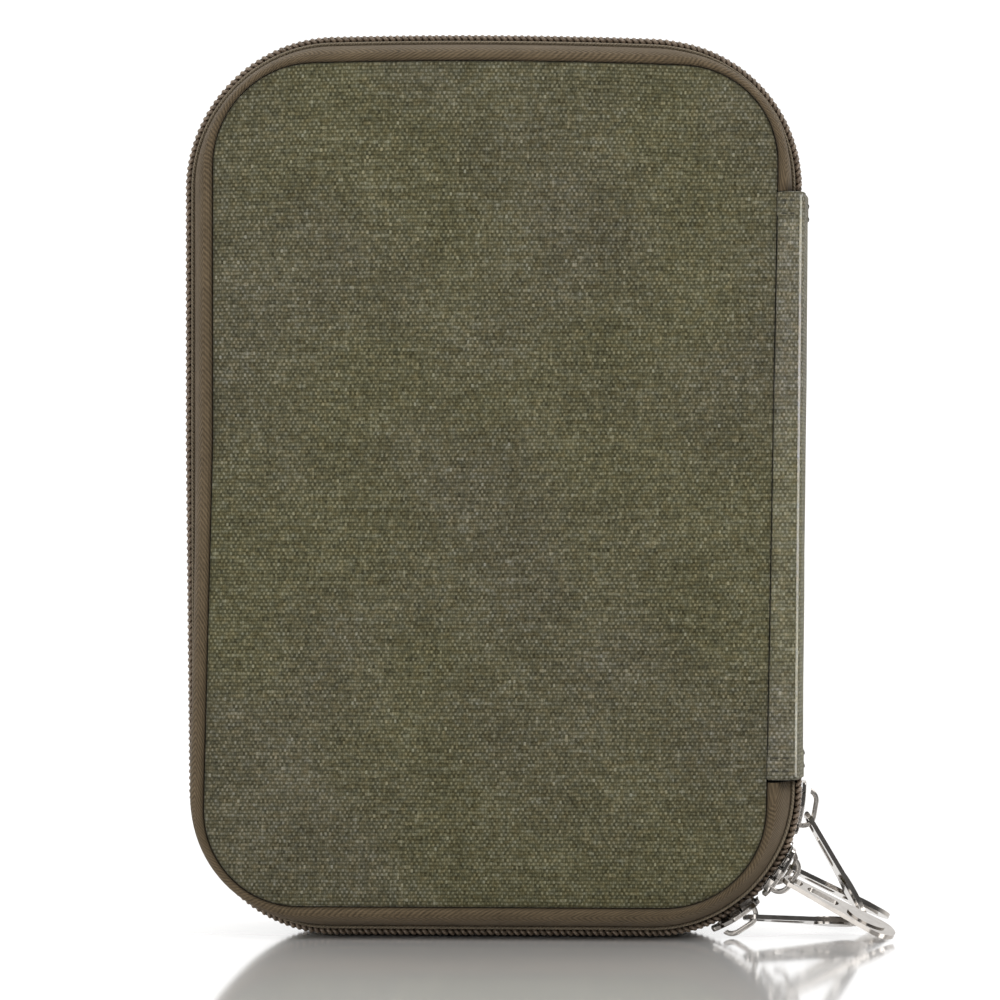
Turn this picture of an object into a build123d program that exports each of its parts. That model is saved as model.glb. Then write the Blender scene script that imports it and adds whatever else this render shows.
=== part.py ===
from build123d import *
import math
import os

# A double-layer cable organizer pouch that stands on its short edge.
# +Z is up, +X is towards the spine, and the front cover faces -Y.
# The origin is the centre of the gusset's flat base. Lengths are millimetres.

# Driving dimensions
WIDTH = 138.0
HEIGHT = 200.0
CORNER = 33.0
HALF_DEPTH = 23.0
ZIP_Y = 12.0
GUSSET_HALF = 4.4

# Canvas panel on each cover
PANEL_WIDTH = 124.0
PANEL_HEIGHT = 186.2
PANEL_CORNER = 22.0
PANEL_X = 0.2
PANEL_Z = 100.2
CLOTH = 1.4
BAND_INSET = 1.0
BAND_INNER = 2.2
EDGE_ROUND = 6.0
SEAM = 0.1

# Zipper: number 5 coil
COIL_WIDTH = 2.5
COIL_HEIGHT = 1.5
HALF_GAP = 0.45

# Spine and its hinge lines
SPINE_LOW = 36.0
SPINE_HIGH = 164.4
SPINE_X = 62.4
SPINE_FACE = 69.8
HINGE_X = 69.9
FLEX_COVER = 12.5
FLEX_MIDDLE = 12.1

# Stack of each cover and of the divider, measured from the outer face or centre
FOAM = 1.6
LINING = 0.45
POCKET = 0.8
DIVIDER_HALF = 0.8
FOAM_INSET = 9.0
LINING_INSET = 10.0

# Pockets: width, height of the rounded plate, corner, x and z of its centre
FRONT_POCKET = (116.0, 104.0, 8.0, -2.0, 64.0)
FRONT_POCKET_TOP = 108.0
SLIP_POCKET = (112.0, 86.0, 8.0, -2.0, 56.0)
CARD_POCKET = (96.0, 56.0, 8.0, -2.0, 42.0)
DIVIDER_POCKET = (120.0, 130.0, 10.0, -2.0, 76.0)
DIVIDER_POCKET_TOP = 128.0
BINDING = 1.2
BINDING_TALL = 5.9

# Elastic cable loops
LOOP_COUNT = 5
LOOP_PITCH = 20.0
LOOP_HALF = 7.4
LOOP_RISE = 6.8
ELASTIC = 0.8
LOOP_TALL = 24.0
LOOP_BANDS = {"upper_cable_loops": 140.0, "lower_cable_loops": 64.0}

# Sliders run on the corner arc below the spine
ARC_X = WIDTH / 2 - CORNER
ARC_Z = CORNER
SLIDER_LONG = 12.4
SLIDER_HALF = 4.5
SLIDER_TAIL = 3.2
SLIDER_NOSE = 3.6
OUTER_PLATE = (CORNER + 0.55, CORNER + 1.45)
INNER_PLATE = (CORNER - 4.1, CORNER - 3.1)
POST = 0.6
CROWN_LONG = 9.4
CROWN_TALL = 3.1
CROWN_BAR = 1.1
CROWN_WIDE = 1.8
CROWN_GAP = 0.9

# Pulls
PULL_LONG = 27.4
PULL_THICK = 1.0
EYE_RADIUS = 2.5
PADDLE_RADIUS = 4.6
END_SLOT = (3.4, 3.2, 0.9)
LONG_SLOT = (7.6, 3.2, 1.3)
MEDAL = (4.6, 3.0)
MEDAL_RISE = 0.35
PIVOT_RISE = 0.95
END_BAR = 0.55
END_BAR_LONG = 2.9

# name: side of the pouch, angle on the corner arc, nose direction,
# pivot's place along the crown, pull's dip below the horizontal, its turn, its roll
SLIDERS = {
    "front_lower": (-1, 33.0, 1, 1.7, 4.0, -15.0, -12.0),
    "front_upper": (-1, 56.5, -1, 0.6, 27.0, 12.0, 14.0),
    "rear_upper": (1, 80.0, -1, 1.7, 60.0, 16.0, -10.0),
    "rear_lower": (1, 56.0, 1, 0.6, 27.5, -13.0, -12.0),
}

os.makedirs("parts", exist_ok=True)


def save(node, shape):
    shape.label = node
    export_step(shape, "parts/" + node + ".step")


def block(x_low, x_high, y_low, y_high, z_low, z_high):
    """Plain box between two corners."""
    size = (x_high - x_low, y_high - y_low, z_high - z_low)
    centre = ((x_low + x_high) / 2, (y_low + y_high) / 2, (z_low + z_high) / 2)
    return Pos(*centre) * Box(*size)


def plate(width, height, radius, x_mid, z_mid, y_low, y_high):
    """Rounded plate that stands upright, parallel to the covers."""
    sketch = Plane.XZ.offset(-y_high) * Pos(x_mid, z_mid) * RectangleRounded(width, height, radius)
    return extrude(sketch, y_high - y_low)


def slab(inset, y_low, y_high):
    """Plate with the pouch's own outline, pulled in by an inset."""
    width = WIDTH - 2 * inset
    height = HEIGHT - 2 * inset
    return plate(width, height, CORNER - inset, 0, HEIGHT / 2, y_low, y_high)


def ring(outer_inset, inner_inset, y_low, y_high):
    """Hoop that follows the pouch's outline."""
    return slab(outer_inset, y_low, y_high) - slab(inner_inset, y_low - 1, y_high + 1)


def panel_prism(grow, y_low, y_high):
    width = PANEL_WIDTH + 2 * grow
    height = PANEL_HEIGHT + 2 * grow
    return plate(width, height, PANEL_CORNER + grow, PANEL_X, PANEL_Z, y_low, y_high)


def flex_zone(radius):
    """Round column about the front hinge line, above and below the spine."""
    tall = Pos(HINGE_X, -ZIP_Y, HEIGHT / 2) * Cylinder(radius, HEIGHT + 20)
    beside_spine = block(0, WIDTH, -60, 60, SPINE_LOW - SEAM, SPINE_HIGH + SEAM)
    return tall - beside_spine


def spine_zone(x_low):
    return block(x_low, WIDTH, -60, 60, SPINE_LOW - SEAM, SPINE_HIGH + SEAM)


def both_sides(name, shape):
    """Saves a front piece and its mirror image at the rear."""
    save("front_" + name, shape)
    save("rear_" + name, mirror(shape, about=Plane.XZ))


def cover_shell():
    """Outer skin of the front cover: a tray with one rounded rim, open to the rear."""
    outer = slab(BAND_INSET, -HALF_DEPTH, -ZIP_Y - HALF_GAP)
    outer = fillet(outer.faces().sort_by(Axis.Y)[0].edges(), EDGE_ROUND)
    inner = slab(BAND_INNER, -HALF_DEPTH + CLOTH, -ZIP_Y + 5)
    inner = fillet(inner.faces().sort_by(Axis.Y)[0].edges(), EDGE_ROUND - BAND_INNER + BAND_INSET)
    return outer - inner


def make_covers():
    shell = cover_shell()
    panel = shell & panel_prism(0, -HALF_DEPTH - 1, -HALF_DEPTH + 2 * CLOTH)
    both_sides("panel", panel)

    seat = slab(COIL_HEIGHT, -ZIP_Y - HALF_GAP - COIL_WIDTH, -ZIP_Y)
    groove = slab(0, -ZIP_Y - HALF_GAP - COIL_WIDTH, -ZIP_Y) - seat
    band = shell - panel_prism(SEAM, -HALF_DEPTH - 1, -HALF_DEPTH + 2 * CLOTH) - groove
    band = band - spine_zone(SPINE_X - SEAM)
    both_sides("zip_tape", band - flex_zone(FLEX_COVER))
    both_sides("tape_ends", band & flex_zone(FLEX_MIDDLE))

    coil = ring(0, COIL_HEIGHT, -ZIP_Y - HALF_GAP - COIL_WIDTH, -ZIP_Y - HALF_GAP)
    coil = coil - spine_zone(SPINE_X - SEAM)
    both_sides("coil", coil - flex_zone(FLEX_COVER))
    both_sides("coil_ends", coil & flex_zone(FLEX_MIDDLE))

    foam_y = -HALF_DEPTH + CLOTH
    foam = slab(FOAM_INSET, foam_y, foam_y + FOAM)
    both_sides("foam_board", foam)
    lining_y = foam_y + FOAM
    both_sides("cover_lining", slab(LINING_INSET, lining_y, lining_y + LINING))

    face = block(SPINE_X, SPINE_FACE, -HALF_DEPTH, -HALF_DEPTH + CLOTH, SPINE_LOW, SPINE_HIGH)
    side = block(SPINE_FACE - CLOTH, SPINE_FACE, -HALF_DEPTH, -ZIP_Y - 0.2, SPINE_LOW, SPINE_HIGH)
    both_sides("spine_fold", face + side)
    return lining_y + LINING


def binding(pocket, top, y_low):
    """Flat edge strip on top of a pocket."""
    reach = pocket[0] / 2
    low = top + SEAM
    return block(pocket[3] - reach, pocket[3] + reach, y_low, y_low + BINDING, low, low + BINDING_TALL)


def make_cover_pockets(lining_y):
    """Mesh pocket inside the front cover, slip and card pockets inside the rear one."""
    mesh = plate(*FRONT_POCKET, lining_y, lining_y + POCKET)
    save("front_mesh_pocket", mesh - block(-WIDTH, WIDTH, -60, 0, FRONT_POCKET_TOP, HEIGHT))
    save("front_pocket_binding", binding(FRONT_POCKET, FRONT_POCKET_TOP, lining_y))
    rear_y = -lining_y
    save("rear_slip_pocket", plate(*SLIP_POCKET, rear_y - POCKET, rear_y))
    save("rear_card_pocket", plate(*CARD_POCKET, rear_y - 2 * POCKET, rear_y - POCKET))


def make_middle():
    """Gusset hoop with one half of each zipper, the divider and the spine's centre."""
    gusset = ring(0, COIL_HEIGHT, -GUSSET_HALF, GUSSET_HALF) - spine_zone(SPINE_X)
    save("gusset", gusset)
    lining = ring(BAND_INNER, BAND_INNER + LINING, -ZIP_Y + 1, ZIP_Y - 1)
    save("gusset_lining", lining - spine_zone(SPINE_X))
    tape = ring(COIL_HEIGHT, BAND_INNER, -ZIP_Y + HALF_GAP, -1.0) - spine_zone(SPINE_X)
    both_sides("inner_tape", tape)
    coil = ring(0, COIL_HEIGHT, -ZIP_Y + HALF_GAP, -ZIP_Y + HALF_GAP + COIL_WIDTH)
    both_sides("inner_coil", coil - spine_zone(SPINE_X))

    reach = ZIP_Y - 0.2
    centre = block(SPINE_FACE - CLOTH, SPINE_FACE, -reach, reach, SPINE_LOW, SPINE_HIGH)
    save("spine_centre", centre)
    save("divider_board", slab(3.5, -DIVIDER_HALF, DIVIDER_HALF))
    both_sides("divider_lining", slab(3.2, -DIVIDER_HALF - LINING, -DIVIDER_HALF))


def make_divider_fittings():
    """Elastic cable loops in front of the divider, a mesh pocket behind it."""
    base_y = -DIVIDER_HALF - LINING
    loops = Sketch()
    for number in range(LOOP_COUNT):
        x_mid = (number - (LOOP_COUNT - 1) / 2) * LOOP_PITCH
        outer = Ellipse(LOOP_HALF, LOOP_RISE)
        inner = Ellipse(LOOP_HALF - ELASTIC, LOOP_RISE - ELASTIC)
        loops += Pos(x_mid, base_y) * (outer - inner)
    reach = LOOP_COUNT * LOOP_PITCH / 2
    loops = loops & Pos(0, base_y - 10) * Rectangle(2 * reach, 20)
    for number in range(LOOP_COUNT + 1):
        x_mid = (number - LOOP_COUNT / 2) * LOOP_PITCH
        flat = LOOP_PITCH - 2 * LOOP_HALF + 2 * ELASTIC
        loops += Pos(x_mid, base_y - ELASTIC / 2) * Rectangle(flat, ELASTIC)
    for node, z_mid in LOOP_BANDS.items():
        band = extrude(Plane.XY.offset(z_mid - LOOP_TALL / 2) * loops, LOOP_TALL)
        save(node, band)

    back_y = -base_y
    pocket = plate(*DIVIDER_POCKET, back_y, back_y + POCKET)
    save("divider_mesh_pocket", pocket - block(-WIDTH, WIDTH, 0, 60, DIVIDER_POCKET_TOP, HEIGHT))
    save("divider_pocket_binding", binding(DIVIDER_POCKET, DIVIDER_POCKET_TOP, back_y))


def slider_outline():
    """Plan of a slider plate, nose towards -X: shouldered nose, narrow tail."""
    half = SLIDER_LONG / 2
    points = [
        (-half, SLIDER_NOSE),
        (-half + 2.6, SLIDER_HALF),
        (0.6, SLIDER_HALF),
        (half, SLIDER_TAIL),
    ]
    mirrored = [(x, -y) for x, y in reversed(points)]
    outline = Polygon(*(points + mirrored), align=None)
    return fillet(outline.vertices(), 1.1)


def arc_plate(radii, plan):
    """Plate that is curved about the corner arc's axis (the Y axis) and cut to a plan."""
    low, high = radii
    tube = Cylinder(high, 30, rotation=(90, 0, 0)) - Cylinder(low, 32, rotation=(90, 0, 0))
    prism = extrude(Plane.XY.offset(low - 5) * plan, 12, dir=(0, 0, 1))
    return tube & prism


def crown():
    """J-shaped hook over the outer plate: one end joined, a small gap at the other."""
    base = OUTER_PLATE[1]
    frame = Plane.XZ.offset(-CROWN_WIDE / 2)
    outer = RectangleRounded(CROWN_LONG, 2 * CROWN_TALL, CROWN_TALL - 0.1)
    hole_tall = 2 * (CROWN_TALL - CROWN_BAR)
    hole = RectangleRounded(CROWN_LONG - 2 * CROWN_BAR, hole_tall, hole_tall / 2 - 0.1)
    hook = extrude(frame * Pos(0, base) * (outer - hole), CROWN_WIDE)
    hook = fillet(hook.edges().filter_by(Axis.Y, reverse=True), 0.32)
    below = block(-10, 10, -5, 5, base - 10, base - 0.5)
    opening = block(0, 10, -5, 5, base - 1, base + CROWN_GAP)
    return hook - below - opening


def slider_body():
    """Slider of a front zipper, built above the arc's axis with its nose towards -X."""
    plan = slider_outline()
    outer = arc_plate(OUTER_PLATE, plan)
    outer = fillet(outer.faces().sort_by(Axis.Z)[-1].edges(), 0.3)
    inner = arc_plate(INNER_PLATE, scale(plan, by=(0.84, 1, 1)))
    post_x = -SLIDER_LONG / 2 + 1.2
    post = block(post_x, post_x + 2.4, -POST / 2, POST / 2, INNER_PLATE[0] + 0.3, OUTER_PLATE[0] + 0.3)
    return outer + inner + post + crown()


def pull():
    """Pull tab along +X with its end bar on the Y axis."""
    eye = Pos(EYE_RADIUS - PULL_THICK / 2, 0) * Circle(EYE_RADIUS)
    paddle = Pos(PULL_LONG - PADDLE_RADIUS, 0) * Circle(PADDLE_RADIUS)
    outline = make_hull((eye + paddle).edges())
    slot = Pos(2.4, 0) * RectangleRounded(*END_SLOT)
    long_slot = Pos(9.4, 0) * RectangleRounded(*LONG_SLOT)
    body = extrude(Plane.XY.offset(-PULL_THICK / 2) * (outline - slot - long_slot), PULL_THICK)
    medal = Pos(PULL_LONG - 7.2, 0) * Ellipse(*MEDAL)
    medal = extrude(Plane.XY * medal, PULL_THICK / 2 + MEDAL_RISE, both=True)
    end_bar = Cylinder(END_BAR, END_BAR_LONG, rotation=(90, 0, 0))
    return body + medal + end_bar


def slider_place(side, angle):
    return Pos(ARC_X, side * ZIP_Y, ARC_Z) * Rot(0, 180 - angle, 0)


def pivot_point(side, angle, nose, along):
    """Centre of a pull's end bar, inside the crown."""
    turn = math.radians(angle)
    radius = OUTER_PLATE[1] + PIVOT_RISE
    x = ARC_X + radius * math.sin(turn) + nose * along * math.cos(turn)
    z = ARC_Z - radius * math.cos(turn) + nose * along * math.sin(turn)
    return (x, side * ZIP_Y, z)


def make_sliders():
    body = slider_body()
    tab = pull()
    for name, (side, angle, nose, along, dip, turn, roll) in SLIDERS.items():
        shape = body
        if nose < 0:
            shape = mirror(shape, about=Plane.YZ)
        save("slider_" + name, slider_place(side, angle) * shape)
        pivot = pivot_point(side, angle, nose, along)
        place = Pos(*pivot) * Rot(0, dip, 0) * Rot(0, 0, -turn) * Rot(roll, 0, 0)
        save("pull_" + name, place * tab)
        bar = (place * Vertex(0, 1, 0)).center() - Vector(*pivot)
        where = [round(value, 3) for value in pivot]
        print("pivot", name, where, "axis", [round(value, 6) for value in bar])


make_cover_pockets(make_covers())
make_middle()
make_divider_fittings()
make_sliders()
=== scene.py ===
import math

import bmesh
import bpy
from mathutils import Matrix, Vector, noise


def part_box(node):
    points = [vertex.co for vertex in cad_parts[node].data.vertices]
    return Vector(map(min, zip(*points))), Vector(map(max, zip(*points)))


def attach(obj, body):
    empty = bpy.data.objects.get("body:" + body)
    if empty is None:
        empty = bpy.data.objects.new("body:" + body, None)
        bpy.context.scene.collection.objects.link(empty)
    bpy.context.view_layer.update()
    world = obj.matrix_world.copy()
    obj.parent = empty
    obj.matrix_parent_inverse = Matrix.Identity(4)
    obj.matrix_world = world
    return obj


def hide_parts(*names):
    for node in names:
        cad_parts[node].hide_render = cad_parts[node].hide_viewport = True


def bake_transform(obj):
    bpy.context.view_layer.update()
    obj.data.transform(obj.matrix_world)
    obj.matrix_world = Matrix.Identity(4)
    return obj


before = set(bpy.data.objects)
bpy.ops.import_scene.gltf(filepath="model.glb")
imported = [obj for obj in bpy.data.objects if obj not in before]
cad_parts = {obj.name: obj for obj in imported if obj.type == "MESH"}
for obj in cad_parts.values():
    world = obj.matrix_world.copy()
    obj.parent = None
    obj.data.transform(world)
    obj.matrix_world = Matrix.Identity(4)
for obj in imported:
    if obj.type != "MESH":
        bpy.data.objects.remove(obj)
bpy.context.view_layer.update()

MM = 0.001


def box_mm(node):
    """Low and high corners of a CAD node, in millimetres."""
    return [[value / MM for value in corner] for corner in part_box(node)]


# Everything below is in millimetres, apart from the stage. A rectangle is (x_low, x_high, z_low, z_high).
(GUSSET_LEFT, _, GUSSET_BASE), (GUSSET_RIGHT, _, GUSSET_TOP) = box_mm("gusset")
(PANEL_LEFT, _, PANEL_BASE), (PANEL_RIGHT, _, PANEL_TOP) = box_mm("front_panel")
(_, _, SPINE_LOW), (SPINE_FACE, _, SPINE_HIGH) = box_mm("spine_centre")
OUTER_RECT = (GUSSET_LEFT, GUSSET_RIGHT, GUSSET_BASE, GUSSET_TOP)
PANEL_RECT = (PANEL_LEFT, PANEL_RIGHT, PANEL_BASE, PANEL_TOP)
OUTER_CORNER = 33.0
PANEL_CORNER = 22.0
SPINE_GAP = 1.0         # between the spine's ends and the strips that stop there
EDGE_INSET = 2.45       # of the tape band's free edge from the pouch's outline
SIDES = {"front": -1, "rear": 1}
BODY = "pouch_body"

# Plane of each zipper
ZIP_Y = 12.0

# Spacing of the canvas yarns and of the zipper coil's turns
WARP = 0.508
WEFT = 0.806
COIL_PITCH = 1.47


# ---------------------------------------------------------------- materials

def new_material(name, colour, roughness, **sockets):
    """Principled material with constant finish values; returns it, its tree and its shader."""
    material = bpy.data.materials.new(name)
    material.use_nodes = True
    tree = material.node_tree
    shader = tree.nodes["Principled BSDF"]
    shader.inputs["Base Color"].default_value = (*colour, 1)
    shader.inputs["Roughness"].default_value = roughness
    for socket, value in sockets.items():
        shader.inputs[socket.replace("_", " ")].default_value = value
    return material, tree, shader


def feed(tree, socket, value):
    """Sets a socket to a number, or links it to another node's output."""
    if isinstance(value, (int, float)):
        socket.default_value = value
    else:
        tree.links.new(value, socket)


def calc(tree, operation, first, second=None, third=None):
    """One Math node; returns its output socket."""
    node = tree.nodes.new("ShaderNodeMath")
    node.operation = operation
    for socket, value in zip(node.inputs, (first, second, third)):
        if value is not None:
            feed(tree, socket, value)
    return node.outputs[0]


def place(tree):
    """Separate sockets for the weave plane, in millimetres."""
    source = tree.nodes.new("ShaderNodeTexCoord")
    split = tree.nodes.new("ShaderNodeSeparateXYZ")
    tree.links.new(source.outputs["UV"], split.inputs[0])
    return split.outputs[0], split.outputs[1]


def vector_of(tree, x, y, z=0.0):
    """Vector made of numbers or sockets."""
    node = tree.nodes.new("ShaderNodeCombineXYZ")
    for socket, value in zip(node.inputs, (x, y, z)):
        feed(tree, socket, value)
    return node.outputs[0]


def cloud(tree, x, y, scale_x, scale_y, detail=2.0, rough=0.5):
    """Noise value with its own scale along each direction, in features per millimetre."""
    node = tree.nodes.new("ShaderNodeTexNoise")
    node.inputs["Scale"].default_value = 1.0
    node.inputs["Detail"].default_value = detail
    node.inputs["Roughness"].default_value = rough
    scaled = vector_of(tree, calc(tree, "MULTIPLY", x, scale_x), calc(tree, "MULTIPLY", y, scale_y))
    tree.links.new(scaled, node.inputs["Vector"])
    return node.outputs["Fac"]


def dice(tree, x, y):
    """Random value for a whole-number cell."""
    node = tree.nodes.new("ShaderNodeTexWhiteNoise")
    node.noise_dimensions = "2D"
    tree.links.new(vector_of(tree, x, y), node.inputs["Vector"])
    return node.outputs["Value"]


def ramp(tree, factor, stops):
    """Colour ramp over (position, colour) stops."""
    node = tree.nodes.new("ShaderNodeValToRGB")
    while len(node.color_ramp.elements) < len(stops):
        node.color_ramp.elements.new(0.5)
    for element, (position, colour) in zip(node.color_ramp.elements, stops):
        element.position = position
        element.color = (*colour, 1)
    feed(tree, node.inputs["Fac"], factor)
    return node.outputs["Color"]


def blend_colour(tree, mode, factor, first, second):
    """Two colours joined by a Mix node."""
    node = tree.nodes.new("ShaderNodeMix")
    node.data_type = "RGBA"
    node.blend_type = mode
    feed(tree, node.inputs["Factor"], factor)
    tree.links.new(first, node.inputs["A"])
    tree.links.new(second, node.inputs["B"])
    return node.outputs["Result"]


def add_bump(tree, shader, height, distance, strength):
    """Bump on the shader's normal; distance is in millimetres."""
    node = tree.nodes.new("ShaderNodeBump")
    node.inputs["Strength"].default_value = strength
    node.inputs["Distance"].default_value = distance * MM
    tree.links.new(height, node.inputs["Height"])
    tree.links.new(node.outputs["Normal"], shader.inputs["Normal"])


def grey(value):
    return (value, value, value)


def vary(tree, base, value, neutral, weight):
    """Base plus the weighted difference between a value and its neutral level."""
    return calc(tree, "MULTIPLY_ADD", calc(tree, "SUBTRACT", value, neutral), weight, base)


def wave(tree, shape, value, pitch):
    """Sine or cosine that repeats once in every pitch."""
    return calc(tree, shape, calc(tree, "MULTIPLY", value, 2 * math.pi / pitch))


def grain(tree, scale, detail=2.0):
    """Noise value fixed to the object, in features per metre."""
    source = tree.nodes.new("ShaderNodeTexCoord")
    node = tree.nodes.new("ShaderNodeTexNoise")
    node.inputs["Scale"].default_value = scale
    node.inputs["Detail"].default_value = detail
    tree.links.new(source.outputs["Object"], node.inputs["Vector"])
    return node.outputs["Fac"]


def canvas_material(name, low, middle, high):
    """Washed cotton duck: plain weave of heathered yarns, faint slubs and a cloudy dye, with painted
    highlight on the yarn crossings and painted shade in the furrows.
    """
    material, tree, shader = new_material(
        name, middle, 0.88, Specular_IOR_Level=0.18, Sheen_Weight=0.08, Sheen_Roughness=0.45)
    u, v = place(tree)
    wobble = calc(tree, "MULTIPLY", calc(tree, "SUBTRACT", cloud(tree, u, v, 0.35, 0.35), 0.5), 0.40)
    u = calc(tree, "ADD", u, wobble)
    v = calc(tree, "ADD", v, calc(tree, "MULTIPLY", wobble, -0.8))
    warp = calc(tree, "DIVIDE", u, WARP)
    weft = calc(tree, "DIVIDE", v, WEFT)
    warp_number = calc(tree, "ROUND", warp)
    weft_number = calc(tree, "ROUND", weft)
    weft_wave = wave(tree, "COSINE", weft, 2.0)
    crossing = calc(tree, "MULTIPLY", wave(tree, "COSINE", warp, 2.0), weft_wave)
    knot = dice(tree, warp_number, weft_number)
    # Painted highlight on the raised yarn crossings, then painted shade in the furrows between weft rows
    bead = calc(tree, "POWER", calc(tree, "MAXIMUM", crossing, 0.0), 0.7)
    furrow_shade = calc(tree, "SUBTRACT", 1.0, calc(tree, "ABSOLUTE", weft_wave))
    streak = cloud(tree, u, weft_number, 0.10, 5.7, 3.0)
    # Each part of the tone, the level at which it changes nothing, and its weight
    tones = [
        (bead, 0.35, 0.21),
        (furrow_shade, 0.36, -0.15),
        (knot, 0.5, 0.20),
        (cloud(tree, warp_number, v, 7.3, 0.09, 3.0), 0.5, 0.18),
        (streak, 0.5, 0.34),
        (cloud(tree, u, v, 1.9, 1.5, 4.0, 0.75), 0.5, 0.95),
        (cloud(tree, u, v, 0.5, 0.6, 3.0, 0.6), 0.5, 0.22),
        (cloud(tree, u, v, 0.06, 0.05, 4.0, 0.62), 0.5, 0.22),
        (calc(tree, "GREATER_THAN", knot, 0.993), 0.0, 0.16),
    ]
    middle_tone = 0.42
    tone = middle_tone
    for value, neutral, weight in tones:
        tone = vary(tree, tone, value, neutral, weight)
    colour = ramp(tree, tone, [(0.10, low), (middle_tone, middle), (0.80, high)])
    wash = ramp(tree, cloud(tree, u, v, 0.018, 0.018, 2.0),
                [(0.42, (1.01, 1.01, 0.96)), (0.58, (1.0, 0.985, 1.08))])
    hue = ramp(tree, cloud(tree, u, v, 0.45, 0.6, 4.0, 0.7),
               [(0.35, (1.07, 1.0, 0.90)), (0.5, (1.0, 1.0, 1.0)), (0.65, (0.95, 0.99, 1.12))])
    for tint in (wash, hue):
        colour = blend_colour(tree, "MULTIPLY", 1.0, colour, tint)
    tree.links.new(colour, shader.inputs["Base Color"])
    hill = calc(tree, "POWER", calc(tree, "ABSOLUTE", crossing), 0.6)
    hill = calc(tree, "MULTIPLY_ADD", crossing, 0.30, hill)
    hill = vary(tree, hill, streak, 0.5, 0.6)
    add_bump(tree, shader, hill, 0.10, 0.75)
    return material


def twill_material(name, low, high, pitch, slope, sheen=0.08, turn_line=None):
    """Zipper tape and other ribbed cloth: fine slanting ribs, which turn back at the tape's middle."""
    material, tree, shader = new_material(
        name, high, 0.80, Specular_IOR_Level=0.25, Sheen_Weight=sheen, Sheen_Roughness=0.4)
    u, v = place(tree)
    if turn_line is not None:
        v = calc(tree, "ABSOLUTE", calc(tree, "SUBTRACT", v, turn_line))
    slant = calc(tree, "MULTIPLY_ADD", v, slope, u)
    across = calc(tree, "MULTIPLY_ADD", u, -slope, v)
    rib = wave(tree, "SINE", slant, pitch)
    bead = wave(tree, "SINE", v, 0.55 * pitch)
    streak = cloud(tree, slant, across, 1.6, 0.25, 4.0, 0.65)
    patch = cloud(tree, u, v, 0.08, 0.2, 3.0)
    tones = [(rib, 0.0, 0.15), (bead, 0.0, 0.04), (streak, 0.5, 0.7), (patch, 0.5, 0.3)]
    tone = 0.46
    for value, neutral, weight in tones:
        tone = vary(tree, tone, value, neutral, weight)
    tree.links.new(ramp(tree, tone, [(0.15, low), (0.85, high)]), shader.inputs["Base Color"])
    hill = calc(tree, "MULTIPLY_ADD", bead, 0.35, rib)
    hill = calc(tree, "MULTIPLY_ADD", streak, 0.8, hill)
    add_bump(tree, shader, hill, 0.08, 0.8)
    return material


def ribbed_material(name, low, high, pitch):
    """Elastic webbing: ribs across the band and a soft knit."""
    material, tree, shader = new_material(
        name, high, 0.78, Specular_IOR_Level=0.3, Sheen_Weight=0.12, Sheen_Roughness=0.4)
    u, v = place(tree)
    rib = wave(tree, "SINE", u, pitch)
    knit = wave(tree, "SINE", v, 0.6 * pitch)
    fuzz = cloud(tree, u, v, 2.0, 2.0, 4.0)
    tone = calc(tree, "MULTIPLY_ADD", rib, 0.25, 0.5)
    tone = vary(tree, tone, fuzz, 0.5, 0.7)
    tree.links.new(ramp(tree, tone, [(0.1, low), (0.9, high)]), shader.inputs["Base Color"])
    add_bump(tree, shader, calc(tree, "MULTIPLY_ADD", knit, 0.3, rib), 0.12, 0.8)
    return material


def mesh_material(name, low, high):
    """Nylon net: round holes in a staggered grid."""
    material, tree, shader = new_material(
        name, (0.02, 0.02, 0.02), 0.6, Specular_IOR_Level=0.35, Sheen_Weight=0.1)
    u, v = place(tree)
    pitch = 1.5
    thread = 0.42
    wave_u, wave_v = [wave(tree, "COSINE", value, 2 * pitch) for value in (u, v)]
    cell = calc(tree, "ABSOLUTE", calc(tree, "MULTIPLY", wave_u, wave_v))
    fuzz = cloud(tree, u, v, 3.0, 3.0, 3.0)
    tree.links.new(ramp(tree, fuzz, [(0.3, low), (0.7, high)]), shader.inputs["Base Color"])
    tree.links.new(calc(tree, "LESS_THAN", cell, thread), shader.inputs["Alpha"])
    add_bump(tree, shader, cell, 0.2, 0.6)
    return material


def coil_material(name, low, high):
    """Glossy dyed nylon monofilament."""
    material, tree, shader = new_material(name, high, 0.34, Specular_IOR_Level=0.5)
    u, v = place(tree)
    tone = cloud(tree, u, v, 0.6, 0.8, 3.0)
    tree.links.new(ramp(tree, tone, [(0.3, low), (0.7, high)]), shader.inputs["Base Color"])
    add_bump(tree, shader, cloud(tree, u, v, 4.0, 4.0, 2.0), 0.02, 0.4)
    return material


def metal_material(name, low, high):
    """Polished nickel plate with faint haze and tiny scratches."""
    material, tree, shader = new_material(name, (0.45, 0.42, 0.39), 0.26, Metallic=1.0)
    haze = grain(tree, 420.0, 4.0)
    scratch = grain(tree, 1500.0, 3.0)
    tree.links.new(ramp(tree, haze, [(0.3, low), (0.7, high)]), shader.inputs["Base Color"])
    tree.links.new(calc(tree, "MULTIPLY_ADD", haze, 0.22, 0.04), shader.inputs["Roughness"])
    add_bump(tree, shader, scratch, 0.015, 0.35)
    return material


def board_material(name, low, high):
    """Foam board with a fine open grain."""
    material, tree, shader = new_material(name, high, 0.85)
    pores = grain(tree, 1800.0)
    tree.links.new(ramp(tree, pores, [(0.3, low), (0.7, high)]), shader.inputs["Base Color"])
    add_bump(tree, shader, pores, 0.08, 0.6)
    return material


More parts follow.
